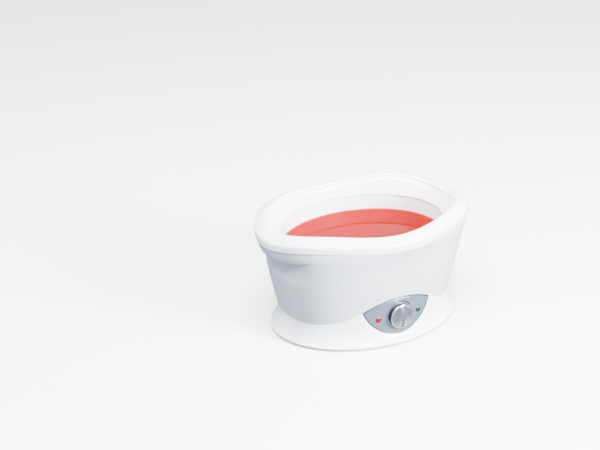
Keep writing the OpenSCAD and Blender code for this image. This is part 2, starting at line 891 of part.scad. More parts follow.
module heater_lead() {
    x = block_at[0] + 6;
    y = block_at[1] - 1.4;
    color("saddlebrown")
        tube_along(smooth_route([
            [x, y, block_top_z], [x, y - 8, block_top_z + 2], [x + 10, y - 22, 34], [x + 40, y - 50, 44],
            [0, -18, 50], [cutout_at[0] - 22, cutout_at[1] + 6, 50],
            [cutout_at[0] - 15.6, cutout_at[1] + 4, clamp_low_z - 5]], 4), lead_r, 6);
}

module control_lead() {
    x = block_at[0] + 16;
    y = block_at[1] - 1.4;
    back = bracket_y - bracket_t - body_len - 0.2;
    color("steelblue")
        tube_along(smooth_route([
            [x, y, block_top_z], [x + 1, y - 10, block_top_z + 1], [x + 12, y - 50, 20], [-14, -20, 26],
            [-8, -back + 14, 36], [-8, -back + 0.2, 40]], 4), lead_r, 6);
}

module earth_lead() {
    x = block_at[0] + 26;
    y = block_at[1] - 1.4;
    color("yellowgreen")
        tube_along(smooth_route([
            [x, y, block_top_z], [x + 2, y - 6, block_top_z + 1], [x + 20, y - 10, 30],
            [stud_at[0] - 20, 30, 40], [stud_at[0], stud_at[1], stud_low_z - 8],
            [stud_at[0], stud_at[1], stud_low_z - 0.6]], 4), lead_r, 6);
}

module capillary_tube() {
    back = bracket_y - bracket_t - body_len - 0.2;
    color("peru")
        tube_along(smooth_route([
            [9, -back + 0.2, knob_z + 4], [9, -back + 10, knob_z + 3], [30, -back + 18, 46],
            [70, -36, 50], [100, -14, 56], [106, -4, 64], [94, 0, bulb_z - 1], [60, 0, bulb_z],
            [bulb_len / 2 + 0.2, 0, bulb_z]], 4), 1, 8);
}

outer_shell();
rim_ring();
wax_pan();
pan_gasket();
pan_screws();
wax_fill();
pan_grid();
base_tray();
base_screws();
rubber_feet();
cord_gland();
gland_nut();
heater_pad();
heat_spreader();
insulation_pad();
clamp_plate();
heater_studs();
heater_nuts();
sensor_bulb();
bulb_saddle();
capillary_tube();
thermal_cutout();
cutout_clip();
thermostat_body();
thermostat_spindle();
thermostat_nut();
thermostat_bracket();
bracket_screws();
control_bezel();
bezel_trim();
red_lens();
green_lens();
red_lamp();
green_lamp();
lamp_board();
terminal_block();
terminal_screws();
heater_lead();
control_lead();
earth_lead();
knob_dial();
knob_core();
knob_clip();
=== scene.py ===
# %% [markdown]
# # An oval paraffin wax bath
# Salons melt paraffin in a bath like this one. The housing is three white mouldings: a flared foot, a
# shell that leans outwards, and a rolled rim. A pan of red wax hangs inside, and a silver control panel
# with a turning knob is let into the front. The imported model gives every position. Here each visible
# piece gets its smooth final form and its finish.

# %% Load the frame
import json
import math

import bmesh
import bpy
import numpy as np
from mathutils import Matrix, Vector


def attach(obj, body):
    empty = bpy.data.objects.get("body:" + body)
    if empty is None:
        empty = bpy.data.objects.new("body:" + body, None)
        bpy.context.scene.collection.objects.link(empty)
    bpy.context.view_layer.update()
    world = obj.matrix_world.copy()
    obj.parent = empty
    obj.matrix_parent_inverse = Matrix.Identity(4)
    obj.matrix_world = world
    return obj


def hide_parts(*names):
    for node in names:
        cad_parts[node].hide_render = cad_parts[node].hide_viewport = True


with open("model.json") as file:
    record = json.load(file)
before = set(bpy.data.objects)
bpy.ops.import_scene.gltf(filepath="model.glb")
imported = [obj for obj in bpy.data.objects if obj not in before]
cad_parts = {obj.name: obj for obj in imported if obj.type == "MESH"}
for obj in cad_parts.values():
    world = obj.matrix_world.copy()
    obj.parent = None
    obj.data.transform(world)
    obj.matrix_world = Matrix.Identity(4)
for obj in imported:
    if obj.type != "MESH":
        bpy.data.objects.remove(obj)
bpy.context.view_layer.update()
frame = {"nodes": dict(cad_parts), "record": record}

# %% [markdown]
# ## Camera
# A long lens far away keeps the oval calm, as a catalogue picture does. The camera stands to the left of
# the front and looks down by about 25 degrees. A small shift places the bath right of the middle.

# %% Camera
CAMERA_TURN, CAMERA_RISE, CAMERA_AWAY = math.radians(31.08), math.radians(25.29), 2.2
AIM = Vector((0, 0, 0.090))

back = Vector((-math.sin(CAMERA_TURN) * math.cos(CAMERA_RISE),
               -math.cos(CAMERA_TURN) * math.cos(CAMERA_RISE), math.sin(CAMERA_RISE)))
lens_data = bpy.data.cameras.new("studio_camera")
lens_data.lens, lens_data.sensor_width = 87.13, 36.0
lens_data.shift_x, lens_data.shift_y = -0.105, 0.059
lens_data.clip_start, lens_data.clip_end = 0.05, 50
camera = bpy.data.objects.new("studio_camera", lens_data)
camera.location = AIM + back * CAMERA_AWAY
camera.rotation_mode = "QUATERNION"
camera.rotation_quaternion = (-back).to_track_quat("-Z", "Y")
bpy.context.scene.collection.objects.link(camera)
bpy.context.scene.camera = camera
print("camera at", [round(v, 3) for v in camera.location])

# %% [markdown]
# ## Small helpers for materials
# Colours are chosen as sRGB hex values, as on a paint card, and shaders need them linear. One helper
# adds a node with its settings and its links, so that a material reads as a short list.

# %% Colour and node helpers
def linear(hex_value):
    channels = [int(hex_value[i:i + 2], 16) / 255 for i in (1, 3, 5)]
    return [c / 12.92 if c <= 0.04045 else ((c + 0.055) / 1.055) ** 2.4 for c in channels] + [1.0]


def add(tree, kind, inputs=None, **settings):
    """Adds a node. An input has a name or a number, and is a value or (node, output) for a link."""
    node = tree.nodes.new(kind)
    for name, value in settings.items():
        setattr(node, name, value)
    for name, value in (inputs or {}).items():
        socket = node.inputs[name]
        if isinstance(value, tuple) and isinstance(value[0], bpy.types.Node):
            tree.links.new(value[0].outputs[value[1]], socket)
        else:
            socket.default_value = value
    return node


def start_material(name):
    made = bpy.data.materials.new(name)
    made.use_nodes = True
    made.node_tree.nodes.clear()
    return made, made.node_tree


def end_material(tree, **shader):
    """The Principled shader and the output; shader values are given by socket name with _ for a space."""
    inputs = {name.replace("_", " "): value for name, value in shader.items()}
    surface = add(tree, "ShaderNodeBsdfPrincipled", inputs)
    add(tree, "ShaderNodeOutputMaterial", {"Surface": (surface, "BSDF")})
    return surface


MM = 0.001
COLOUR_A, COLOUR_B, COLOUR_OUT = 6, 7, 2  # the Mix node's colour sockets, by number
print("a white of #F3F3F4 is", [round(v, 3) for v in linear("#F3F3F4")])

# %% [markdown]
# ## White mouldings
# The foot, shell and rim are injection moulded ABS, a hard opaque plastic with an IOR of about 1.53.
# A polished mould leaves a soft gloss. Under it lies a faint orange peel, some 4 mm from crest to crest,
# from the flow of the melt, and the gloss varies a little where hands have wiped it. The shell's white is
# drawn the greyest of the three: this grey is painted shade, standing for the shade the outward-leaning shell
# sits in.

# %% Moulded plastic
def moulded_plastic(name, body, shade, gloss=(0.2, 0.32), peel_mm=4.0, peel_depth=0.012, ior=1.53):
    made, tree = start_material(name)
    place = add(tree, "ShaderNodeTexCoord")
    cloud = add(tree, "ShaderNodeTexNoise",
                {"Vector": (place, "Object"), "Scale": 1 / (60 * MM), "Detail": 3.0})
    peel = add(tree, "ShaderNodeTexNoise",
               {"Vector": (place, "Object"), "Scale": 1 / (peel_mm * MM), "Detail": 2.0})
    rough = add(tree, "ShaderNodeMapRange",
                {"Value": (cloud, "Fac"), "To Min": gloss[0], "To Max": gloss[1]})
    bump = add(tree, "ShaderNodeBump",
               {"Height": (peel, "Fac"), "Strength": 0.35, "Distance": peel_depth * MM})
    tint = add(tree, "ShaderNodeMix", {"Factor": (cloud, "Fac"), COLOUR_A: linear(body),
                                       COLOUR_B: linear(shade)}, data_type="RGBA")
    end_material(tree, Base_Color=(tint, COLOUR_OUT), IOR=ior,
                 Roughness=(rough, "Result"), Normal=(bump, "Normal"))
    return made


# The shell's greyer, bluer white is painted shade for the shade the outward-leaning shell sits in.
painted_shade_shell = moulded_plastic("ABS_painted_shade_shell", "#CCD2DA", "#C6CDD6")
rim_white = moulded_plastic("ABS_rim_white", "#F3F3F4", "#EDEEF1", gloss=(0.14, 0.26))
foot_white = moulded_plastic("ABS_foot_white", "#F2F2F3", "#EBECEF")
print("made", painted_shade_shell.name, rim_white.name, foot_white.name)

# %% [markdown]
# ## Sizes of the mouldings
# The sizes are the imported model's own, in millimetres. Each moulding is a stack of ovals, so one point on
# it is found from a turn round the oval and a height.

# %% Sizes and oval helpers
COLUMNS = 288
TURNS = np.arange(COLUMNS) * (2 * math.pi / COLUMNS)
DEGREES = np.degrees(TURNS)
RIM_HALF, OPENING_HALF = np.array([170, 126.5]), np.array([145, 108.75])
BASE_HALF, PAN_HALF = np.array([148.5, 115.5]), np.array([130, 104.5])
LEDGE_HALF = PAN_HALF + 1
RIM_Z, BAND_H, LEDGE_Z, WAX_Z, PAN_FLOOR_Z = 169.0, 10.0, 152.6, 127.4, 72.0
CORNER_WAVE, END_WAVE, END_REACH, LIP_SIDE_Z, LIP_DIP = 4.1, 1.3, 40, 150, 16
SHELL_N, SEAM_Z, SEAM_RISE, SEAM_REACH, SEAM_POWER = 2.35, 34.0, 38.0, 71, 2.4
KNOB_Z, PANEL_Y, PANEL_R = 44.4, 104.5, 171.0


def signed_power(v, e):
    return np.sign(v) * np.abs(v) ** e


def oval(half, n=2.0):
    """Plan points of an oval at every turn; half may differ from turn to turn."""
    half = np.asarray(half, float)
    return np.stack([half[..., 0] * signed_power(np.cos(TURNS), 2 / n),
                     half[..., 1] * signed_power(np.sin(TURNS), 2 / n)], -1)


def inwards(points, distance):
    reach = np.linalg.norm(points, axis=-1, keepdims=True)
    return points * (1 - np.reshape(np.broadcast_to(distance, reach.shape[:-1]), reach.shape) / reach)


def with_height(points, z):
    return np.concatenate([points, np.broadcast_to(z, points.shape[:-1])[..., None]], -1)


def mix(a, b, f):
    f = np.asarray(f, float)
    return a + (b - a) * (f[..., None] if np.ndim(a) == 2 and f.ndim == 1 else f)


RIM_EDGE_Z = RIM_Z - CORNER_WAVE * np.cos(4 * TURNS) - END_WAVE * np.cos(2 * TURNS)
SHOULDER_Z = RIM_EDGE_Z - BAND_H
END_TURN = np.abs((DEGREES + 90) % 180 - 90)
END_SHARE = np.where(END_TURN < END_REACH, np.cos(np.radians(90 * END_TURN / END_REACH)), 0.0)
LIP_Z = LIP_SIDE_Z - LIP_DIP * END_SHARE
print("rim edge runs from", RIM_EDGE_Z.min().round(1), "to", RIM_EDGE_Z.max().round(1), "mm")

# %% [markdown]
# ## Building a moulding
# A moulding is a closed loop of rings: up the outside, over the edge, down the inside and back to the
# start. Joining each ring to the next gives a wall with two faces and no open seam. Smooth shading hides
# the facets, and edges sharper than 35 degrees stay crisp.

# %% Mesh helpers
SHARP_DEGREES = 35
collection = bpy.context.scene.collection


def finish_mesh(name, points_mm, faces, material):
    mesh = bpy.data.meshes.new(name)
    mesh.from_pydata((np.asarray(points_mm) * MM).tolist(), [], faces)
    tidy = bmesh_from(mesh)
    bmesh.ops.remove_doubles(tidy, verts=tidy.verts, dist=1e-6)
    bmesh.ops.recalc_face_normals(tidy, faces=tidy.faces)
    tidy.to_mesh(mesh)
    tidy.free()
    mesh.materials.append(material)
    smooth(mesh)
    made = bpy.data.objects.new(name, mesh)
    collection.objects.link(made)
    return made


def bmesh_from(mesh):
    made = bmesh.new()
    made.from_mesh(mesh)
    return made


def smooth(mesh):
    mesh.polygons.foreach_set("use_smooth", [True] * len(mesh.polygons))
    mesh.set_sharp_from_angle(angle=math.radians(SHARP_DEGREES))
    mesh.update()


def loop_faces(rows, columns, closed):
    """Quads between rings; closed also joins the last ring to the first."""
    last = rows if closed else rows - 1
    return [(j * columns + i, j * columns + (i + 1) % columns,
             (j + 1) % rows * columns + (i + 1) % columns, (j + 1) % rows * columns + i)
            for j in range(last) for i in range(columns)]


def ring_piece(name, rings, material, closed=True, caps=False):
    rows, columns = len(rings), len(rings[0])
    faces = loop_faces(rows, columns, closed)
    if caps:
        faces += [tuple(range(columns)), tuple(range((rows - 1) * columns, rows * columns))]
    return finish_mesh(name, np.concatenate(rings), faces, material)


def smooth_profile(knots, steps):
    """A Catmull-Rom curve through the knots of an open profile."""
    p = np.asarray(knots, float)
    ends = np.concatenate([[2 * p[0] - p[1]], p, [2 * p[-1] - p[-2]]])
    rows = []
    for i in range(len(p) - 1):
        a, b, c, d = ends[i:i + 4]
        for f in np.arange(steps) / steps:
            rows.append(0.5 * (2 * b + (c - a) * f + (2 * a - 5 * b + 4 * c - d) * f * f
                               + (3 * b - a - 3 * c + d) * f ** 3))
    return np.array(rows + [p[-1]])


def report(made):
    print(f"{made.name}: {len(made.data.vertices)} points, {len(made.data.polygons)} faces")


# %% [markdown]
# ## Outer shell
# The shell leans out from foot to rim with a slight belly. Under each end a shallow hollow takes the
# fingers, and the wall above it rolls out to a lip, which is how the full bath is carried. A rule gives
# the wall at any turn and height, so the rows can lie close together around the lip and far apart below.

# %% Shell rule
SHELL_WALL, RIM_WALL, GRIP_DEPTH = 2.8, 2.5, 6.5
GRIP_LOW_Z, GRIP_DEEP_Z, FLARE_Z, SHOULDER_IN, LIP_ROLL, LIP_T = 104.0, 127.0, 120.0, 1.5, 0.3, 1.6
WALL_FOOT_Z, WALL_H, BELLY = 30, 120, 0.81
WALL_FOOT_HALF, WALL_SPREAD = np.array([132, 90.5]), np.array([24.5, 29])


def shell_half(z):
    """Half length and half width at height z."""
    rise = (np.maximum(z - WALL_FOOT_Z, 0) / WALL_H) ** BELLY
    return WALL_FOOT_HALF + WALL_SPREAD * np.asarray(rise)[..., None]


def shell_point(z, above=False, out=0.0):
    """Outer wall at height z for every turn; above picks the rolled lip over the finger hollow."""
    z = np.broadcast_to(np.asarray(z, float), TURNS.shape)
    shoulder = inwards(oval(RIM_HALF), SHOULDER_IN)
    flare = np.clip((z - FLARE_Z) / (SHOULDER_Z - FLARE_Z), 0, 1) ** 3
    roll = 0
    depth = GRIP_DEPTH * END_SHARE ** 2 * np.clip((z - GRIP_LOW_Z) / (GRIP_DEEP_Z - GRIP_LOW_Z), 0, 1)
    if above:
        roll = LIP_ROLL + (1 - LIP_ROLL) * np.sqrt(np.clip((z - LIP_Z) / (SHOULDER_Z - LIP_Z), 0, 1))
        depth = 0
    side = mix(oval(shell_half(z), SHELL_N), shoulder, flare + (roll - flare) * END_SHARE)
    return with_height(inwards(side, depth - out), z)


def seam_bell(reach):
    return np.exp(-(reach / SEAM_REACH) ** SEAM_POWER)


FRONT_REACH = np.abs(oval(shell_half(np.full(COLUMNS, SEAM_Z)), SHELL_N)[:, 0])
SEAM = SEAM_Z + SEAM_RISE * np.where(np.sin(TURNS) > 0, seam_bell(shell_half(SEAM_Z)[0]),
                                     seam_bell(FRONT_REACH))
print("seam rises to", SEAM.max().round(1), "mm over the panel")

# %% Shell rings
SHELL_LAP, TOP_GAP, TONGUE_UP, TONGUE_DOWN = 4.1, 0.3, 6, 3.4
shell_foot = SEAM - SHELL_LAP
grip_low = np.full(COLUMNS, GRIP_LOW_Z)
shell_rows = [shell_point(mix(shell_foot, GRIP_LOW_Z, f)) for f in np.linspace(0, 1, 16)]
shell_rows += [shell_point(mix(grip_low, LIP_Z - LIP_T, f)) for f in np.linspace(0.06, 1, 16)]
under_lip, at_lip = shell_point(LIP_Z - LIP_T), shell_point(LIP_Z, above=True)
for f in (0.35, 0.7, 0.9):
    shell_rows.append(mix(under_lip, at_lip, f) - np.array([0, 0, 0.4 * f]) * END_SHARE[:, None])
shell_rows += [shell_point(mix(LIP_Z, SHOULDER_Z, f * f), above=True) for f in np.linspace(0.05, 1, 14)]
top_in = inwards(shell_rows[-1][:, :2], RIM_WALL - SHOULDER_IN + TOP_GAP)
shell_rows[-1][:, 2] -= TOP_GAP
shell_rows += [with_height(top_in, SHOULDER_Z - TOP_GAP), with_height(top_in, SHOULDER_Z + TONGUE_UP),
               with_height(inwards(top_in, SHELL_WALL), SHOULDER_Z + TONGUE_UP),
               with_height(inwards(top_in, SHELL_WALL), SHOULDER_Z - TONGUE_DOWN)]
shell_rows += [shell_point(mix(shell_foot, LIP_Z - 6, f), out=-SHELL_WALL) for f in np.linspace(1, 0, 12)]
outer_shell = ring_piece("shell_moulding", shell_rows, painted_shade_shell)
report(outer_shell)

# %% [markdown]
# ## Rolled rim
# The rim is one moulding with a broad rolled top, a plain band outside and a skirt inside that runs down
# to the pan. Its edge rises at the four corners and dips at the ends, so no flat curve can be swept for
# it. A few rings mark the roll, and a smooth curve through them gives the rows between. Each ring is given
# by its share of the way in to the opening, a small inset and its height over the edge.

# %% Rim rings
RIM_OVER = [(0, 0.8, -10), (0, 0.2, -8.8), (0, 0, -5.5), (0, 0, -1.5), (0.02, 0, 0.9), (0.09, 0, 2.8),
            (0.3, 0, 6.2), (0.55, 0, 8.8), (0.78, 0, 10.2), (0.92, 0, 10), (1, 0, 8)]
RIM_UNDER = [(0.9, -0.6, 7.2), (0.55, 0, 6.2), (0.33, 0, 3.8), (0.06, 1.9, -0.8), (0, 2.5, -10)]


def rim_ring_at(share, inset, lift):
    return with_height(inwards(mix(oval(RIM_HALF), oval(OPENING_HALF), share), inset), RIM_EDGE_Z + lift)


def skirt_ring_at(share, inset):
    return with_height(inwards(mix(oval(OPENING_HALF), oval(LEDGE_HALF), share), inset),
                       mix(RIM_EDGE_Z + 3.5, LEDGE_Z, share))


def rows_between(rings, steps):
    stacked = smooth_profile([ring.ravel() for ring in rings], steps)
    return [row.reshape(-1, 3) for row in stacked]


SKIRT_SHARES = (0.05, 0.35, 0.7, 1)
rim_outside = [rim_ring_at(*p) for p in RIM_OVER] + [skirt_ring_at(f, 0) for f in SKIRT_SHARES]
rim_inside = [skirt_ring_at(f, RIM_WALL) for f in SKIRT_SHARES[::-1]] + [rim_ring_at(*p) for p in RIM_UNDER]
rim = ring_piece("rim_moulding", rows_between(rim_outside, 5) + rows_between(rim_inside, 2), rim_white)
report(rim)

# %% [markdown]
# ## Foot
# The foot flares out to a thin upright edge on the table and laps over the shell. Over the panel its
# seam climbs in a bell shape to make a housing for the controls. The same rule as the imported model's
# gives the curve, in closer rows.

# %% Foot rings
FOOT_EDGE_Z, BASE_WALL, BASE_FLOOR_Z, BASE_FLOOR_T, LAP_H = 7.0, 2.5, 2.5, 2.5, 4.4
EDGE_IN, LAP_OUT = 1.5, 1.2
FRONT = np.where(np.sin(TURNS) < 0, seam_bell(FRONT_REACH), 0)


def foot_point(f, inset=0.0):
    f = np.broadcast_to(np.asarray(f, float), TURNS.shape)
    low = inwards(oval(BASE_HALF), EDGE_IN)
    top = inwards(shell_point(SEAM)[:, :2], -LAP_OUT)
    skin = mix(low, top, 1 - (1 - f) ** (2 + 7 * FRONT))
    return with_height(inwards(skin, inset), mix(np.full(COLUMNS, FOOT_EDGE_Z), SEAM, f))


def foot_edge(inset, z):
    return with_height(inwards(oval(BASE_HALF), inset), z)


lap_share = (SEAM - LAP_H - 0.6 - FOOT_EDGE_Z) / (SEAM - FOOT_EDGE_Z)
foot_rows = [foot_edge(d, z) for d, z in ((2.6, BASE_FLOOR_Z - 0.5), (1, 2.2), (0.4, 2.9), (0, 4.2),
                                          (0.05, 5.4), (0.5, 6.3))]
foot_rows += [foot_point(f) for f in np.linspace(0, 1, 34) ** 1.5]
foot_rows += [with_height(inwards(shell_point(SEAM)[:, :2], -0.6), SEAM + 0.15),
              with_height(inwards(shell_point(SEAM)[:, :2], -0.3), SEAM),
              with_height(inwards(shell_point(SEAM - LAP_H)[:, :2], -0.3), SEAM - LAP_H),
              foot_point(lap_share, BASE_WALL + 0.6)]
foot_rows += [foot_point(f, BASE_WALL) for f in (0.52, 0.3, 0.12)]
foot_rows += [foot_edge(EDGE_IN + 2 * BASE_WALL, BASE_FLOOR_Z + BASE_FLOOR_T)]
foot = ring_piece("foot_moulding", foot_rows, foot_white)
report(foot)

# %% [markdown]
# ## Window for the panel
# The control panel is leaf shaped: two arcs that meet in points left and right. The foot and the shell
# behind it are cut through along that outline, with a 0.3 mm gap all round. A boolean modifier does this
# best, because the cut crosses a wall that curves both ways; it is applied straight away.

# %% Leaf outline
LEAF_HALF, LEAF_CORNER, LEAF_TOP, LEAF_BOTTOM = 57.5, 11.8, 28.1, 29.8


def arc_radius(sag):
    return (LEAF_HALF ** 2 + sag ** 2) / (2 * sag)


TOP_R, LOW_R = arc_radius(LEAF_TOP - LEAF_CORNER), arc_radius(LEAF_CORNER + LEAF_BOTTOM)


def leaf_outline(inset, count=96):
    """X and Z of the leaf, measured from the knob's axis, moved in by inset; left tip, top arc, low arc."""
    top_r, low_r, top_c, low_c = TOP_R - inset, LOW_R - inset, LEAF_TOP - TOP_R, LOW_R - LEAF_BOTTOM
    gap = low_c - top_c
    tip_z = top_c + (gap ** 2 + top_r ** 2 - low_r ** 2) / (2 * gap)
    tip_x = math.sqrt(max(top_r ** 2 - (tip_z - top_c) ** 2, 1e-6))
    top_a, low_a = math.atan2(tip_x, tip_z - top_c), math.atan2(tip_x, low_c - tip_z)
    a = np.linspace(-top_a, top_a, count, endpoint=False)
    b = np.linspace(low_a, -low_a, count, endpoint=False)
    return np.concatenate([np.stack([top_r * np.sin(a), top_c + top_r * np.cos(a)], -1),
                           np.stack([low_r * np.sin(b), low_c - low_r * np.cos(b)], -1)])


def panel_ring(inset, out, flat_y=None):
    """A leaf outline laid on the panel's curved face and moved out towards the front."""
    x, z = leaf_outline(inset).T
    y = -(PANEL_Y - PANEL_R + np.sqrt(PANEL_R ** 2 - x ** 2) + out)
    return np.stack([x, y if flat_y is None else np.full(len(x), flat_y), z + KNOB_Z], -1)


def cut(piece, cutter):
    made = piece.modifiers.new("cut", "BOOLEAN")
    made.operation, made.object, made.solver = "DIFFERENCE", cutter, "EXACT"
    shaped = bpy.data.meshes.new_from_object(piece.evaluated_get(bpy.context.evaluated_depsgraph_get()))
    piece.modifiers.clear()
    piece.data = shaped
    shaped.name = piece.name
    smooth(shaped)
    bpy.data.objects.remove(cutter)


WINDOW_GAP = 0.3
for piece in (outer_shell, foot):
    cut(piece, ring_piece("cutter", [panel_ring(-WINDOW_GAP, 0, y) for y in (-80.0, -130.0)], foot_white,
                          closed=False, caps=True))
    report(piece)

# %% [markdown]
# ## Seat of the cord inlet
# The gland sits in a round pocket at the back of the foot. The sloping wall is bored out, and a boss
# behind it gives the gland a flat seat. The boss's outer end follows the slope of the wall.

# %% Inlet pocket and boss
INLET_Z, POCKET_R, BOSS_R, BORE_R, SEAT_Y, BOSS_IN_Y = 17.0, 8.2, 12.0, 6.0, 104.3, 91.6
BACK_CURVE = 300  # x squared over this is how far the back curves away beside the middle


def joined(name, *parts):
    """One object from several; the first keeps its place and material."""
    made = bmesh.new()
    for part in parts:
        made.from_mesh(part.data)
    made.to_mesh(parts[0].data)
    made.free()
    for part in parts[1:]:
        bpy.data.objects.remove(part)
    parts[0].name = parts[0].data.name = name
    smooth(parts[0].data)
    return parts[0]


def inlet_ring(r, y=None, under_skin=0.0, columns=96):
    """A ring round the inlet's axis, at y or laid under the foot's sloping skin."""
    a = np.arange(columns) * 2 * math.pi / columns
    x, z = r * np.cos(a), INLET_Z + r * np.sin(a)
    if y is None:
        back = [foot_point(f)[COLUMNS // 4, 1:] for f in np.linspace(0, 1, 60)]
        y = np.interp(z, [h for _, h in back], [v for v, _ in back]) - x * x / BACK_CURVE - under_skin
    return np.stack([x, np.broadcast_to(y, x.shape), z], -1)


cut(foot, ring_piece("cutter", [inlet_ring(POCKET_R, 98.0), inlet_ring(POCKET_R, 125.0)], foot_white,
                     closed=False, caps=True))
boss = ring_piece("boss", [inlet_ring(BOSS_R, BOSS_IN_Y), inlet_ring(BOSS_R, None, 1.2),
                           inlet_ring(POCKET_R, None, 0.02), inlet_ring(POCKET_R, SEAT_Y),
                           inlet_ring(BORE_R, SEAT_Y), inlet_ring(BORE_R, BOSS_IN_Y)], foot_white)
foot = joined("foot_moulding", foot, boss)
report(foot)

# %% [markdown]
# ## Pan
# The pan is a deep drawn aluminium tray with a pale non-stick coat, so that set wax lets go of it. The
# coat is sprayed, which leaves a fine grain of about 0.6 mm; it is drawn at 1.5 mm so that it shows.

# %% Pan
pan_coat = moulded_plastic("sprayed_pan_coat", "#ECECEE", "#E4E5E7", gloss=(0.3, 0.42),
                           peel_mm=1.5, peel_depth=0.02, ior=1.5)
PAN_WALL, FLANGE_W, FLANGE_Z, FLANGE_T = 1.5, 5.0, 150.4, 1.3
PAN_PROFILE = [(17, 0), (12.5, 0.9), (9, 4), (5.5, 12), (3, 28), (0.4, 58)]


def pan_ring_at(inset, z):
    return with_height(inwards(oval(PAN_HALF), inset), z)


floor_steps = [pan_ring_at(d, PAN_FLOOR_Z) for d in (90, 60, 35)]
pan_inside = smooth_profile(PAN_PROFILE, 4)
pan_rows = [pan_ring_at(d, PAN_FLOOR_Z - PAN_WALL) for d in (90, 40)]
pan_rows += [pan_ring_at(d - PAN_WALL, PAN_FLOOR_Z + h - PAN_WALL) for d, h in pan_inside]
pan_rows += [pan_ring_at(-PAN_WALL, FLANGE_Z - FLANGE_T), pan_ring_at(-FLANGE_W, FLANGE_Z - FLANGE_T),
             pan_ring_at(-FLANGE_W, FLANGE_Z), pan_ring_at(-0.8, FLANGE_Z), pan_ring_at(0, FLANGE_Z - 0.8)]
pan_rows += [pan_ring_at(0.4, FLANGE_Z - 6)] + [pan_ring_at(d, PAN_FLOOR_Z + h) for d, h in pan_inside[::-1]]
pan_rows += floor_steps[::-1]
pan = ring_piece("coated_pan", pan_rows, pan_coat, closed=False, caps=True)
report(pan)

# %% [markdown]
# ## Molten wax
# Melted paraffin is clear, and dye turns it a deep red-orange. It is still and mirror smooth, and where it
# wets the pan it climbs a millimetre or so in a thin pale edge. The surface is built in rings that close
# up towards the edge, so that this climb has a true curve. Its IOR is 1.44, and light goes some way in.
# Its mirror image is turned down, so that the deep colour leads.

# %% Wax finish
def melted_wax():
    made, tree = start_material("melted_paraffin")
    place = add(tree, "ShaderNodeTexCoord")
    swirl = add(tree, "ShaderNodeTexNoise",
                {"Vector": (place, "Object"), "Scale": 1 / (70 * MM), "Detail": 2.0})
    depth = add(tree, "ShaderNodeSeparateXYZ", {"Vector": (place, "Object")})
    edge = add(tree, "ShaderNodeMapRange", {"Value": (depth, "Z"), "From Min": (WAX_Z + 0.1) * MM,
                                            "From Max": (WAX_Z + 1.1) * MM})
    body = add(tree, "ShaderNodeMix", {"Factor": (swirl, "Fac"), COLOUR_A: linear("#7E0000"),
                                       COLOUR_B: linear("#720000")}, data_type="RGBA")
    dyed = add(tree, "ShaderNodeMix", {"Factor": (edge, "Result"), COLOUR_A: (body, COLOUR_OUT),
                                       COLOUR_B: linear("#B4382A")}, data_type="RGBA")
    end_material(tree, Base_Color=(dyed, COLOUR_OUT), IOR=1.44, Specular_IOR_Level=0.02, Roughness=0.06,
                 Subsurface_Weight=0.25, Subsurface_Scale=0.004, Subsurface_Radius=Vector((1.0, 0.25, 0.12)))
    return made


WAX_FOOT_Z, WAX_GAP, CLIMB, CLIMB_REACH = 78.6, 0.45, 1.1, 2.2


def wax_inset(z):
    rise, inset = [h for _, h in PAN_PROFILE], [d for d, _ in PAN_PROFILE]
    return float(np.interp(z - PAN_FLOOR_Z, rise, inset)) + WAX_GAP


wax_rows = [pan_ring_at(wax_inset(z) + 0.3, z) for z in np.linspace(WAX_FOOT_Z, WAX_Z - 2, 6)]
for away in (0.0, 0.3, 0.7, 1.2, 2, 3.2, 5, 8, 14, 24, 40, 60, 80, 96):
    wax_rows.append(pan_ring_at(wax_inset(WAX_Z) + away, WAX_Z + CLIMB * math.exp(-away / CLIMB_REACH)))
wax = ring_piece("melted_wax", wax_rows, melted_wax(), closed=False, caps=True)
report(wax)

# %% [markdown]
# ## Control panel
# The panel is a thin curved plate, sprayed with silver metallic lacquer. Flakes of aluminium about 0.1 mm
# across lie in it, drawn at 0.5 mm here, and they make the sheen shift a little from place to place. A
# raised trim in a darker silver frames it, drawn darker still as painted shade for the shadow line along its
# edge. Both are leaf outlines laid on a curved face, ring after ring.

# %% Metallic lacquer
def metallic_lacquer(name, body, flake, gloss, metal=0.85, flake_mm=0.5):
    made, tree = start_material(name)
    place = add(tree, "ShaderNodeTexCoord")
    grain = add(tree, "ShaderNodeTexNoise",
                {"Vector": (place, "Object"), "Scale": 1 / (flake_mm * MM), "Detail": 1.0})
    cloud = add(tree, "ShaderNodeTexNoise",
                {"Vector": (place, "Object"), "Scale": 1 / (25 * MM), "Detail": 2.0})
    rough = add(tree, "ShaderNodeMapRange",
                {"Value": (cloud, "Fac"), "To Min": gloss[0], "To Max": gloss[1]})
    tint = add(tree, "ShaderNodeMix", {"Factor": (grain, "Fac"), COLOUR_A: linear(body),
                                       COLOUR_B: linear(flake)}, data_type="RGBA")
    end_material(tree, Base_Color=(tint, COLOUR_OUT), Metallic=metal,
                 Roughness=(rough, "Result"), Coat_Weight=0.25, Coat_Roughness=0.12)
    return made


panel_silver = metallic_lacquer("silver_lacquer", "#92A0B2", "#AAB7C6", (0.26, 0.34))
# The trim's very dark colour is partly its darker silver and partly painted shade for the shadow line along
# its edge.
trim_silver_and_painted_shade = metallic_lacquer("dark_silver_lacquer_and_painted_shade", "#39414A", "#48515B", (0.4, 0.5))

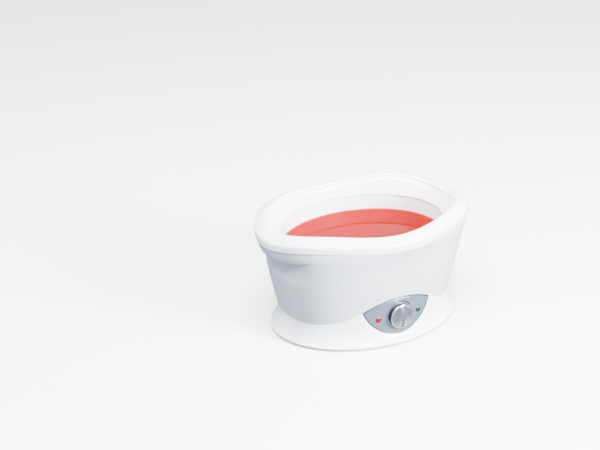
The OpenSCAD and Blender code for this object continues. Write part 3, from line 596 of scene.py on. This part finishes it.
# %% Panel and trim
PLATE_T, PLATE_IN = 2.4, 1.6
face_insets = [2.2, 3, 4.5, 7, 10, 13, 16, 19, 22, 25, 27.5, 28.7]
plate_rows = [panel_ring(d, -PLATE_T) for d in face_insets[::-1]]
plate_rows += [panel_ring(PLATE_IN, -PLATE_T), panel_ring(PLATE_IN, -0.45),
               panel_ring(PLATE_IN + 0.08, -0.2), panel_ring(PLATE_IN + 0.25, -0.05)]
plate_rows += [panel_ring(d, 0) for d in face_insets]
panel = ring_piece("control_panel", plate_rows, panel_silver, closed=False, caps=True)
trim_rows = [panel_ring(d, out) for d, out in (
    (0, -PLATE_T), (0, 0.05), (0.12, 0.32), (0.4, 0.48), (0.75, 0.5), (1.1, 0.44), (1.4, 0.22), (1.5, 0),
    (1.5, -PLATE_T))]
trim = ring_piece("panel_trim", trim_rows, trim_silver_and_painted_shade)
report(panel)
report(trim)

# %% [markdown]
# ## Heat scale
# A printed arc round the knob swells from thin to thick, which says "warmer" without words. It follows a
# path and its width follows a rule, so Geometry Nodes make it: a point grid is bent into the arc and laid
# on the curved panel, 0.05 mm proud as screen ink is.

# %% Node tree helpers
def start_tree(name, inputs):
    tree = bpy.data.node_groups.new(name, "GeometryNodeTree")
    for label, (kind, value) in inputs.items():
        socket = tree.interface.new_socket(name=label, in_out="INPUT", socket_type=kind)
        socket.default_value = value
    tree.interface.new_socket(name="Geometry", in_out="OUTPUT", socket_type="NodeSocketGeometry")
    return tree, add(tree, "NodeGroupInput")


def length(value_mm):
    """A named input of a tree, in millimetres."""
    return "NodeSocketFloat", value_mm * MM


def grow(name, tree, material):
    """Runs the tree on an empty mesh and keeps the result as a plain mesh."""
    seed = bpy.data.objects.new(name, bpy.data.meshes.new(name))
    collection.objects.link(seed)
    seed.modifiers.new(name, "NODES").node_group = tree
    shaped = bpy.data.meshes.new_from_object(seed.evaluated_get(bpy.context.evaluated_depsgraph_get()))
    seed.modifiers.clear()
    seed.data = shaped
    shaped.name = name
    shaped.materials.clear()
    shaped.materials.append(material)
    smooth(shaped)
    report(seed)
    return seed


def end_tree(tree, geometry, material):
    real = add(tree, "GeometryNodeRealizeInstances", {"Geometry": geometry})
    dressed = add(tree, "GeometryNodeSetMaterial", {"Geometry": (real, "Geometry"), "Material": material})
    add(tree, "NodeGroupOutput", {"Geometry": (dressed, "Geometry")})


# %% Scale arc
ink = moulded_plastic("screen_ink_grey", "#22282F", "#2A3038", gloss=(0.35, 0.45), peel_mm=2.0)
INK_LIFT = 0.05


def scale_arc_tree():
    tree, given = start_tree("scale_arc", {
        "Inner Radius": length(20.2), "Thin End": length(0.7), "Thick End": length(2.6),
        "Start Angle": ("NodeSocketFloat", math.radians(146)),
        "Sweep": ("NodeSocketFloat", math.radians(-112)),
        "Axis Height": length(KNOB_Z), "Face Distance": length(PANEL_Y), "Face Radius": length(PANEL_R),
        "Lift": length(INK_LIFT)})
    grid = add(tree, "GeometryNodeMeshGrid",
               {"Size X": 1.0, "Size Y": 1.0, "Vertices X": 97, "Vertices Y": 5})
    place = add(tree, "GeometryNodeInputPosition")
    axes = add(tree, "ShaderNodeSeparateXYZ", {"Vector": (place, "Position")})
    along = add(tree, "ShaderNodeMath", {0: (axes, "X"), 1: 0.5}, operation="ADD")
    across = add(tree, "ShaderNodeMath", {0: (axes, "Y"), 1: 0.5}, operation="ADD")
    turn = add(tree, "ShaderNodeMath", {0: (along, 0), 1: (given, "Sweep"), 2: (given, "Start Angle")},
               operation="MULTIPLY_ADD")
    swell = add(tree, "ShaderNodeMath", {0: (given, "Thick End"), 1: (given, "Thin End")},
                operation="SUBTRACT")
    width = add(tree, "ShaderNodeMath", {0: (swell, 0), 1: (along, 0), 2: (given, "Thin End")},
                operation="MULTIPLY_ADD")
    radius = add(tree, "ShaderNodeMath", {0: (width, 0), 1: (across, 0), 2: (given, "Inner Radius")},
                 operation="MULTIPLY_ADD")
    cosine = add(tree, "ShaderNodeMath", {0: (turn, 0)}, operation="COSINE")
    sine = add(tree, "ShaderNodeMath", {0: (turn, 0)}, operation="SINE")
    x = add(tree, "ShaderNodeMath", {0: (radius, 0), 1: (cosine, 0)}, operation="MULTIPLY")
    z = add(tree, "ShaderNodeMath", {0: (radius, 0), 1: (sine, 0), 2: (given, "Axis Height")},
            operation="MULTIPLY_ADD")
    face_squared = add(tree, "ShaderNodeMath", {0: (given, "Face Radius"), 1: 2.0}, operation="POWER")
    x_squared = add(tree, "ShaderNodeMath", {0: (x, 0), 1: (x, 0)}, operation="MULTIPLY")
    left = add(tree, "ShaderNodeMath", {0: (face_squared, 0), 1: (x_squared, 0)}, operation="SUBTRACT")
    reach = add(tree, "ShaderNodeMath", {0: (left, 0)}, operation="SQRT")
    bulge = add(tree, "ShaderNodeMath", {0: (reach, 0), 1: (given, "Face Radius")}, operation="SUBTRACT")
    face = add(tree, "ShaderNodeMath", {0: (bulge, 0), 1: (given, "Face Distance")}, operation="ADD")
    front = add(tree, "ShaderNodeMath", {0: (face, 0), 1: (given, "Lift")}, operation="ADD")
    y = add(tree, "ShaderNodeMath", {0: (front, 0), 1: -1.0}, operation="MULTIPLY")
    laid = add(tree, "ShaderNodeCombineXYZ", {"X": (x, 0), "Y": (y, 0), "Z": (z, 0)})
    bent = add(tree, "GeometryNodeSetPosition", {"Geometry": (grid, "Mesh"), "Position": (laid, "Vector")})
    end_tree(tree, (bent, "Geometry"), ink)
    return tree


scale_arc = grow("heat_scale", scale_arc_tree(), ink)

# %% [markdown]
# ## Knob
# The knob is moulded and vacuum plated, which gives a satin chrome. Two hollows for the fingers are
# scooped out of its face and leave a bar between them to turn it by. The rings of the face follow the
# bar's straight edges: every ring has a point on each line beside the bar, so the edges come out crisp.
# A thin dark ring, turned with the knob, closes round its side; its dark colour is painted shade, standing
# for the knob's side wall in shadow.

# %% Plated finish
def plated(name, tone, gloss, brush_mm=0.8):
    made, tree = start_material(name)
    place = add(tree, "ShaderNodeTexCoord")
    cloud = add(tree, "ShaderNodeTexNoise",
                {"Vector": (place, "Object"), "Scale": 1 / (12 * MM), "Detail": 3.0})
    rough = add(tree, "ShaderNodeMapRange",
                {"Value": (cloud, "Fac"), "To Min": gloss[0], "To Max": gloss[1]})
    fine = add(tree, "ShaderNodeTexNoise", {"Vector": (place, "Object"), "Scale": 1 / (brush_mm * MM)})
    bump = add(tree, "ShaderNodeBump", {"Height": (fine, "Fac"), "Strength": 0.15, "Distance": 0.01 * MM})
    end_material(tree, Base_Color=linear(tone), Metallic=1.0,
                 Roughness=(rough, "Result"), Normal=(bump, "Normal"))
    return made


knob_chrome = plated("satin_chrome_plate", "#E4E7EA", (0.1, 0.18))
# The dark plate is painted shade: it stands for the knob's side wall in shadow.
painted_shade_plate = plated("painted_shade_satin_plate", "#3C444E", (0.3, 0.4))

# %% Knob
KNOB_R, KNOB_BACK_Y, KNOB_FACE_Y, SCOOP_DEPTH = 18.5, 105.2, 113.0, 4.0
BAR_CROWN, BAR_HALF, BAR_FOOT_HALF = 2.6, 3.1, 4.3
BAR_LINES = [0, 1.2, 2.4, BAR_HALF, 3.3, 3.5, 3.65, 3.8, 4.0, BAR_FOOT_HALF]
SCOOP_REACH, SCOOP_SHARE = [0.36 * KNOB_R, 0.62 * KNOB_R, KNOB_R - 3.4, KNOB_R - 1.8], [1, 0.8, 0.35, 0]


def turned(profile, columns=144, centre=(0.0, KNOB_Z)):
    """Rings of a shape turned about an axis along Y: pairs of radius and distance in front."""
    a = np.arange(columns) * 2 * math.pi / columns
    return [np.stack([centre[0] + r * np.cos(a), np.full(columns, -y), centre[1] + r * np.sin(a)], -1)
            for r, y in profile]


def knob_face_ring(r):
    """One ring of the knob's face: arched along the bar, sunk beside it."""
    edges = [math.asin(min(x / r, 1)) for x in BAR_LINES]
    quarter = np.array(edges + list(np.linspace(edges[-1], math.pi / 2, 15)[1:]))
    a = np.concatenate([quarter[:-1], math.pi - quarter[:0:-1],
                        math.pi + quarter[:-1], 2 * math.pi - quarter[:0:-1]])
    x, z = r * np.sin(a), r * np.cos(a)
    beside = np.clip((np.abs(x) - BAR_HALF) / (BAR_FOOT_HALF - BAR_HALF), 0, 1)
    beside = beside ** 2 * (3 - 2 * beside)
    depth = SCOOP_DEPTH * np.interp(r, SCOOP_REACH, SCOOP_SHARE)
    crown = BAR_CROWN * (1 - (z / (KNOB_R - 1.5)) ** 2)
    return np.stack([x, depth * beside - crown * (1 - beside) - KNOB_FACE_Y, KNOB_Z + z], -1)


face_reach = BAR_LINES[3:] + [5.5, 7, 8.5, 10, 11, 12, 13, 13.9, 14.7, 15.3, 15.8, 16.3, 16.7]
knob_rows = [knob_face_ring(r) for r in face_reach]
turn_of = np.arctan2(knob_rows[-1][:, 0], knob_rows[-1][:, 2] - KNOB_Z)
for r, y in ((KNOB_R - 1.2, KNOB_FACE_Y), (KNOB_R - 0.6, KNOB_FACE_Y - 0.2),
             (KNOB_R - 0.2, KNOB_FACE_Y - 0.6), (KNOB_R, KNOB_FACE_Y - 1.2), (KNOB_R, KNOB_BACK_Y + 0.3),
             (KNOB_R - 0.3, KNOB_BACK_Y), (12, KNOB_BACK_Y)):
    knob_rows.append(np.stack([r * np.sin(turn_of), np.full(len(turn_of), -y),
                               KNOB_Z + r * np.cos(turn_of)], -1))
knob = ring_piece("plated_knob", knob_rows, knob_chrome, closed=False, caps=True)
report(knob)

# %% Ring of painted shade round the knob
RING_BACK_Y, RING_FRONT_Y, RING_IN, RING_OUT = 105.3, 110.7, KNOB_R - 0.1, KNOB_R + 0.2
# A dark ring of painted shade round the knob's side.
knob_painted_shade_ring = ring_piece("knob_painted_shade_ring", turned([
    (RING_IN, RING_BACK_Y), (RING_OUT, RING_BACK_Y), (RING_OUT, RING_FRONT_Y - 0.3),
    (RING_OUT - 0.15, RING_FRONT_Y), (RING_IN, RING_FRONT_Y)]), painted_shade_plate)
report(knob_painted_shade_ring)

# %% [markdown]
# ## Indicators
# Two small domes of tinted polycarbonate show that the bath is on and that it is warm enough. They are so
# deep in colour that an opaque body under a gloss looks right. The red one is lit and gives off a little
# light, the green one hardly any. Polycarbonate has an IOR of 1.58.

# %% Lenses
def lit_lens(name, tint, glow_colour, glow):
    made, tree = start_material(name)
    place = add(tree, "ShaderNodeTexCoord")
    grain = add(tree, "ShaderNodeTexNoise", {"Vector": (place, "Object"), "Scale": 1 / (3 * MM)})
    rough = add(tree, "ShaderNodeMapRange", {"Value": (grain, "Fac"), "To Min": 0.06, "To Max": 0.14})
    end_material(tree, Base_Color=linear(tint), Roughness=(rough, "Result"), IOR=1.58, Coat_Weight=0.1,
                 Emission_Color=linear(glow_colour), Emission_Strength=glow)
    return made


LENS_R, LENS_X, LENS_Z, LENS_BACK, DOME_LIFT, DOME_H = 4.5, 34.0, KNOB_Z - 2.0, 4.4, 0.2, 1.4


def lens_piece(name, x, material):
    face = PANEL_Y - PANEL_R + math.sqrt(PANEL_R ** 2 - x * x)
    dome = [(LENS_R * math.cos(a), face + DOME_LIFT + DOME_H * math.sin(a))
            for a in np.radians(np.linspace(0, 84, 9))]
    profile = [(0.4, face - LENS_BACK), (LENS_R, face - LENS_BACK)] + dome
    return ring_piece(name, turned(profile, 64, (x, LENS_Z)), material, closed=False, caps=True)


red_lens = lens_piece("red_indicator", -LENS_X,
                      lit_lens("red_polycarbonate", "#62060A", "#FF1A14", 0.06))
green_lens = lens_piece("green_indicator", LENS_X,
                        lit_lens("green_polycarbonate", "#02341F", "#1F8A5A", 0.02))
report(red_lens)
report(green_lens)

# %% [markdown]
# ## Vented floor of the foot
# The bath breathes through slots in its floor. One slot is a box, and a small tree copies it along a line
# and cuts all copies from the plate at once.

# %% Vented floor
def vented_floor_tree():
    tree, given = start_tree("vented_floor", {
        "Half Length": length(144.5), "Half Width": length(111.5), "Level": length(2.1),
        "Thickness": length(2.9), "Slot Width": length(3.5), "Slot Length": length(32),
        "Slot Depth": length(20), "Slot Span": length(150), "Slots": ("NodeSocketInt", 16)})
    plate = add(tree, "GeometryNodeMeshCylinder", {"Vertices": 144, "Radius": 1.0, "Depth": 1.0})
    plate_size = add(tree, "ShaderNodeCombineXYZ", {
        "X": (given, "Half Length"), "Y": (given, "Half Width"), "Z": (given, "Thickness")})
    middle = add(tree, "ShaderNodeMath", {0: (given, "Thickness"), 1: 0.5, 2: (given, "Level")},
                 operation="MULTIPLY_ADD")
    plate_place = add(tree, "ShaderNodeCombineXYZ", {"Z": (middle, 0)})
    laid = add(tree, "GeometryNodeTransform", {
        "Geometry": (plate, "Mesh"), "Translation": (plate_place, "Vector"), "Scale": (plate_size, "Vector")})
    slot_size = add(tree, "ShaderNodeCombineXYZ", {
        "X": (given, "Slot Width"), "Y": (given, "Slot Length"), "Z": (given, "Slot Depth")})
    slot = add(tree, "GeometryNodeMeshCube", {"Size": (slot_size, "Vector")})
    first_x = add(tree, "ShaderNodeMath", {0: (given, "Slot Span"), 1: -0.5}, operation="MULTIPLY")
    last_x = add(tree, "ShaderNodeMath", {0: (given, "Slot Span"), 1: 0.5}, operation="MULTIPLY")
    first = add(tree, "ShaderNodeCombineXYZ", {"X": (first_x, 0), "Z": (middle, 0)})
    last = add(tree, "ShaderNodeCombineXYZ", {"X": (last_x, 0), "Z": (middle, 0)})
    row = add(tree, "GeometryNodeMeshLine", {"Count": (given, "Slots"), "Start Location": (first, "Vector"),
                                            "Offset": (last, "Vector")}, mode="END_POINTS")
    slots = add(tree, "GeometryNodeInstanceOnPoints", {"Points": (row, "Mesh"), "Instance": (slot, "Mesh")})
    solid = add(tree, "GeometryNodeRealizeInstances", {"Geometry": (slots, "Instances")})
    cut_out = add(tree, "GeometryNodeMeshBoolean", operation="DIFFERENCE")
    tree.links.new(laid.outputs["Geometry"], cut_out.inputs["Mesh 1"])
    tree.links.new(solid.outputs["Geometry"], cut_out.inputs["Mesh 2"])
    end_tree(tree, (cut_out, "Mesh"), foot_white)
    return tree


vented_floor = grow("vented_floor", vented_floor_tree(), foot_white)

# %% [markdown]
# ## Rubber feet
# Four black rubber feet stand on a rectangle. They are moulded with a taper and a matt skin.

# %% Rubber
def rubber(name, tone):
    return moulded_plastic(name, tone, tone, gloss=(0.6, 0.75), peel_mm=0.8, peel_depth=0.03, ior=1.52)


foot_rubber = rubber("moulded_black_rubber", "#26272A")


def four_feet_tree():
    tree, given = start_tree("four_feet", {
        "Spacing X": length(208), "Spacing Y": length(128), "Foot Radius": length(8),
        "Ground Radius": length(7), "Height": length(1.9)})
    corners = add(tree, "GeometryNodeMeshGrid", {
        "Size X": (given, "Spacing X"), "Size Y": (given, "Spacing Y"), "Vertices X": 2, "Vertices Y": 2})
    pad = add(tree, "GeometryNodeMeshCone", {
        "Vertices": 48, "Radius Top": (given, "Foot Radius"), "Radius Bottom": (given, "Ground Radius"),
        "Depth": (given, "Height")})
    pads = add(tree, "GeometryNodeInstanceOnPoints", {"Points": (corners, "Mesh"), "Instance": (pad, "Mesh")})
    end_tree(tree, (pads, "Instances"), foot_rubber)
    return tree


feet = grow("rubber_feet_pads", four_feet_tree(), foot_rubber)

# %% [markdown]
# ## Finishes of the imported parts
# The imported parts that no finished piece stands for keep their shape. Each gets the finish of its real
# material, by its slot name. Grain finer than half a millimetre is drawn at that size.

# %% Slot finishes
def worked_metal(name, tone, gloss, grain_mm):
    return metallic_lacquer(name, tone, tone, gloss, 1.0, grain_mm)


def felt(name, tone, shade):
    return moulded_plastic(name, tone, shade, gloss=(0.85, 0.95), peel_mm=1.2, peel_depth=0.3)


slot_finish = {
    "white_abs_shell": painted_shade_shell, "white_abs_rim": rim_white, "white_abs_foot": foot_white,
    "pan_aluminium": pan_coat, "silicone_seal": rubber("silicone_rubber_seal", "#E4E4E4"),
    "zinc_steel": worked_metal("zinc_plated_steel", "#B8BABC", (0.25, 0.4), 1.0),
    "paraffin_wax": wax.data.materials[0],
    "white_grid": moulded_plastic("polypropylene_grid", "#EBEBEB", "#E2E3E4"),
    "foot_rubber": foot_rubber,
    "gland_nylon": moulded_plastic("black_nylon", "#27272A", "#2D2D31", gloss=(0.35, 0.5)),
    "heater_mat": rubber("silicone_heating_mat", "#9E4721"),
    "spreader_foil": worked_metal("aluminium_sheet", "#CCCDD1", (0.25, 0.35), 0.6),
    "insulation_felt": felt("ceramic_felt", "#E0E0D6", "#CFCFC2"),
    "copper_tube": worked_metal("drawn_copper", "#B86E4D", (0.2, 0.32), 0.8),
    "cutout_body": moulded_plastic("black_phenolic", "#151515", "#1B1B1C", gloss=(0.3, 0.4)),
    "thermostat_case": worked_metal("rolled_steel_case", "#AEB0B2", (0.3, 0.42), 0.8),
    "brass_nut": worked_metal("turned_brass", "#C79E4D", (0.18, 0.3), 0.5),
    "silver_panel": panel_silver, "panel_edge": trim_silver_and_painted_shade,
    "red_lens_pc": red_lens.data.materials[0], "green_lens_pc": green_lens.data.materials[0],
    "lamp_glass": lit_lens("clear_lamp_glass", "#F2E6D9", "#FFB070", 0.0),
    "board_laminate": moulded_plastic("green_board_laminate", "#1A542E", "#1E5E34", gloss=(0.3, 0.45)),
    "terminal_nylon": moulded_plastic("ivory_nylon", "#E6E0CC", "#DCD6C0", gloss=(0.35, 0.5)),
    "lead_brown": rubber("brown_silicone_lead", "#542E1A"),
    "lead_blue": rubber("blue_silicone_lead", "#21458C"),
    "lead_earth": rubber("green_silicone_lead", "#739E26"), "knob_silver": knob_chrome,
    "knob_black": moulded_plastic("black_knob_core", "#0F0F11", "#151517", gloss=(0.35, 0.5)),
    "spring_steel": worked_metal("polished_spring_steel", "#99999E", (0.12, 0.2), 0.6),
}
slot_of = {part["node"]: part["material_slot"] for part in frame["record"]["subparts"]}
for node, part in frame["nodes"].items():
    part.data.materials.clear()
    part.data.materials.append(slot_finish[slot_of[node]])
print("dressed", len(frame["nodes"]), "packed parts")

# %% [markdown]
# ## Joining the pieces to the model
# Each finished piece rides on a body and says which imported part it stands for. Three stand for none: the
# vented floor, the heat scale and the ring of painted shade round the knob. The knob and its ring ride on the
# body that turns, and everything else on the housing.

# %% Ride and replace
for piece, body, node, slot_name in (
        (outer_shell, "housing", "outer_shell", "white_abs_shell"),
        (rim, "housing", "rim_ring", "white_abs_rim"),
        (foot, "housing", "base_tray", "white_abs_foot"),
        (vented_floor, "housing", None, "white_abs_foot"),
        (pan, "housing", "wax_pan", "pan_aluminium"),
        (wax, "housing", "wax_fill", "paraffin_wax"),
        (panel, "housing", "control_bezel", "silver_panel"),
        (trim, "housing", "bezel_trim", "panel_edge"),
        (scale_arc, "housing", None, "panel_edge"),
        (red_lens, "housing", "red_lens", "red_lens_pc"),
        (green_lens, "housing", "green_lens", "green_lens_pc"),
        (feet, "housing", "rubber_feet", "foot_rubber"),
        (knob, "control_knob", "knob_dial", "knob_silver"),
        (knob_painted_shade_ring, "control_knob", None, "knob_black")):
    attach(piece, body)
    if node:
        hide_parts(node)
    print(piece.name, "rides on", body)

# %% [markdown]
# ## Studio
# A white table runs back without a seam. A big soft light hangs overhead and a second one stands to the
# right of the camera, which leaves the left end of the bath in shade. White plastic is only seen by its
# shading, so the table takes light and shadow but throws none back: the room's own soft glow, dim from
# below and brighter from above, takes the place of that bounce.

# %% Floor and lights
paper, tree = start_material("studio_paper")
place = add(tree, "ShaderNodeTexCoord")
fibre = add(tree, "ShaderNodeTexNoise", {"Vector": (place, "Object"), "Scale": 40.0})
rough = add(tree, "ShaderNodeMapRange", {"Value": (fibre, "Fac"), "To Min": 0.85, "To Max": 0.95})
end_material(tree, Base_Color=linear("#FAFAFA"), Roughness=(rough, "Result"))

FLOOR_HALF = 6.0
floor_mesh = bpy.data.meshes.new("studio_floor")
floor_mesh.from_pydata([(-FLOOR_HALF, -FLOOR_HALF, 0), (FLOOR_HALF, -FLOOR_HALF, 0),
                        (FLOOR_HALF, FLOOR_HALF, 0), (-FLOOR_HALF, FLOOR_HALF, 0)], [], [(0, 1, 2, 3)])
floor_mesh.materials.append(paper)
floor = bpy.data.objects.new("studio_floor", floor_mesh)
collection.objects.link(floor)
floor.visible_diffuse = floor.visible_glossy = False

world = bpy.data.worlds.new("studio_world")
world.use_nodes = True
tree = world.node_tree
place = add(tree, "ShaderNodeTexCoord")
height = add(tree, "ShaderNodeSeparateXYZ", {"Vector": (place, "Generated")})
glow = add(tree, "ShaderNodeMapRange", {"Value": (height, "Z"), "From Min": -0.6, "From Max": 0.6,
                                        "To Min": 0.75, "To Max": 1.9}, interpolation_type="SMOOTHSTEP")
room = tree.nodes["Background"]
room.inputs["Color"].default_value = linear("#E8EFFF")
tree.links.new(glow.outputs["Result"], room.inputs["Strength"])
bpy.context.scene.world = world


def soft_light(name, place, size, watts):
    light = bpy.data.lights.new(name, "AREA")
    light.shape, light.size, light.energy = "DISK", size, watts
    made = bpy.data.objects.new(name, light)
    made.location = place
    made.rotation_mode = "QUATERNION"
    made.rotation_quaternion = (AIM - Vector(place)).to_track_quat("-Z", "Y")
    collection.objects.link(made)


soft_light("key_light", (0.95, -1.76, 0.9), 0.9, 360)
soft_light("top_light", (-0.6, -0.5, 2.2), 1.6, 310)
print("lights placed")
